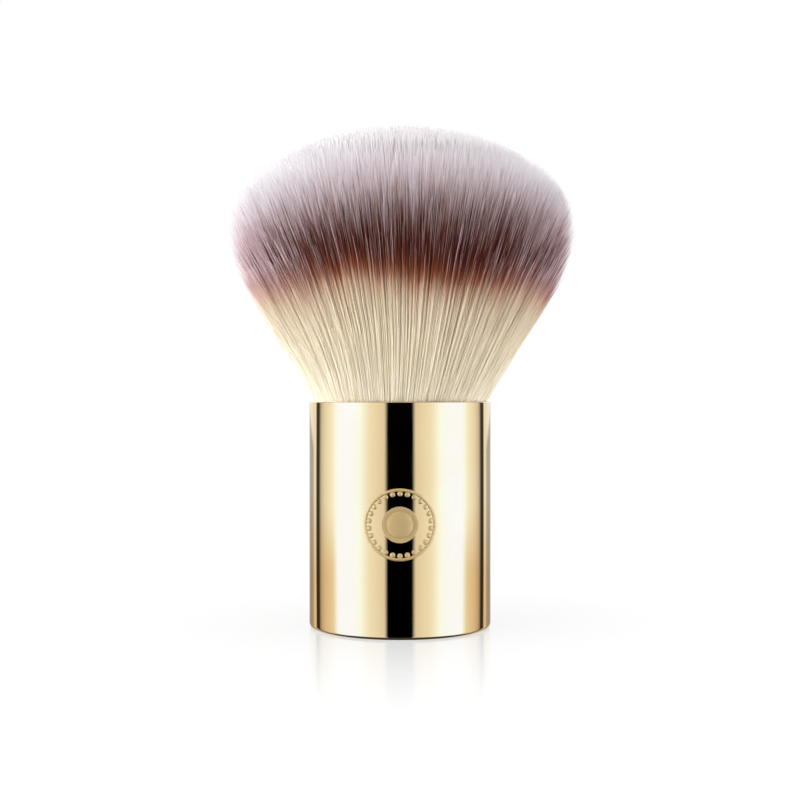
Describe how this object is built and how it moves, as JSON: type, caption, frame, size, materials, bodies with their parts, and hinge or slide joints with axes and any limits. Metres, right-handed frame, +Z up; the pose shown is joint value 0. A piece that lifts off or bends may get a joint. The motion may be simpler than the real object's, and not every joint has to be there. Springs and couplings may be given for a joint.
{
  "type": "kabuki makeup brush",
  "caption": "Short weighted powder brush: a polished gold metal cup as the handle, an applied round medallion on its front, and a dense flared tuft of three-tone bristles with a domed top.",
  "frame": {"origin": "middle of the flat base of the handle, on the surface it stands on", "axes": "+Z up along the handle into the tuft, -Y out of the front, where the medallion is"},
  "size_m": [0.0634, 0.0634, 0.0932],
  "materials": {
    "gold_shell": "polished",
    "gold_badge": "polished",
    "steel": "satin",
    "core_plastic": "matte",
    "bare_aluminium": "satin",
    "adhesive": "satin",
    "resin": "gloss",
    "thread": "matte",
    "bristles": "satin"
  },
  "bodies": {
    "handle": {"handle_shell": "gold_shell", "weight_adhesive": "adhesive", "balance_weight": "steel", "core_sleeve": "core_plastic", "hair_cup": "bare_aluminium", "cup_glue": "adhesive", "root_resin": "resin", "root_binding": "thread", "bristle_root": "bristles", "bristle_neck": "bristles", "badge_ring": "gold_badge", "badge_boss": "gold_badge"},
    "tuft": {"bristle_head": "bristles"}
  },
  "joints": [
    {"name": "tuft_bend", "type": "hinge", "parent": "handle", "child": "tuft", "pos_m": [0, 0, 0.0419], "axis": [0, 1, 0], "range_deg": [-20, 20], "stiffness_Nm_per_rad": 0.2, "deforming": ["bristle_neck"]}
  ]
}
